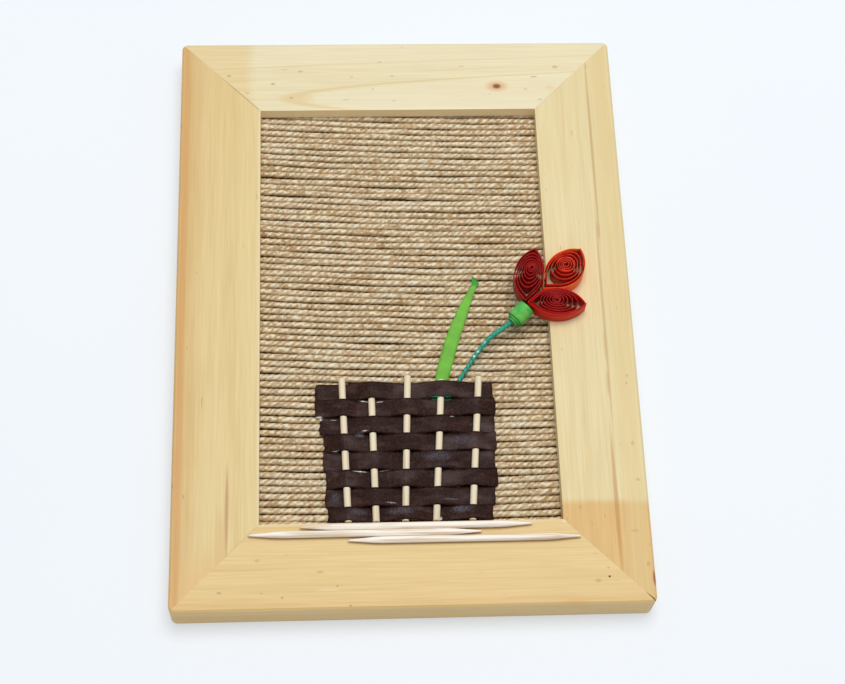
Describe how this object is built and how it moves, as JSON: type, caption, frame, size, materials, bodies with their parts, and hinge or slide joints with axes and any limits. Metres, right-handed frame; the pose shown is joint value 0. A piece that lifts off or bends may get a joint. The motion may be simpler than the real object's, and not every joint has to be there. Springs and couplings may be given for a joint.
{
  "type": "framed quilled paper art",
  "caption": "Small mitred pine frame round a panel of jute twine, with a woven paper pot, a leaf, a stem and a quilled flower that laps onto the rail.",
  "frame": {"origin": "middle of the frame's flat back", "axes": "+X to the right of the picture, +Y up the picture, +Z out of its face"},
  "size_m": [0.134, 0.183, 0.0161],
  "materials": {
    "pine": "satin",
    "steel": "satin",
    "hardboard": "matte",
    "jute": "matte",
    "toothpick": "matte",
    "brown_paper": "satin",
    "leaf_paper": "matte",
    "stem_paper": "satin",
    "calyx_paper": "matte",
    "dark_red_paper": "matte",
    "orange_paper": "matte",
    "red_paper": "matte"
  },
  "bodies": {
    "root": {"frame_rail_left": "pine", "frame_rail_right": "pine", "frame_rail_top": "pine", "frame_rail_bottom": "pine", "corner_v_nails": "steel", "retaining_points": "steel", "backing_board": "hardboard", "twine_rows": "jute", "pot_upright_1": "toothpick", "pot_upright_2": "toothpick", "pot_upright_3": "toothpick", "pot_upright_4": "toothpick", "pot_upright_5": "toothpick", "ground_pick_upper": "toothpick", "ground_pick_middle": "toothpick", "ground_pick_lower": "toothpick", "pot_strip_1": "brown_paper", "pot_strip_2": "brown_paper", "pot_strip_3": "brown_paper", "pot_strip_4": "brown_paper", "pot_strip_5": "brown_paper", "pot_strip_6": "brown_paper", "pot_strip_7": "brown_paper", "pot_strip_8": "brown_paper", "leaf": "leaf_paper", "stem": "stem_paper", "calyx": "calyx_paper", "petal_left": "dark_red_paper", "petal_top": "orange_paper", "petal_right": "red_paper"}
  },
  "joints": []
}
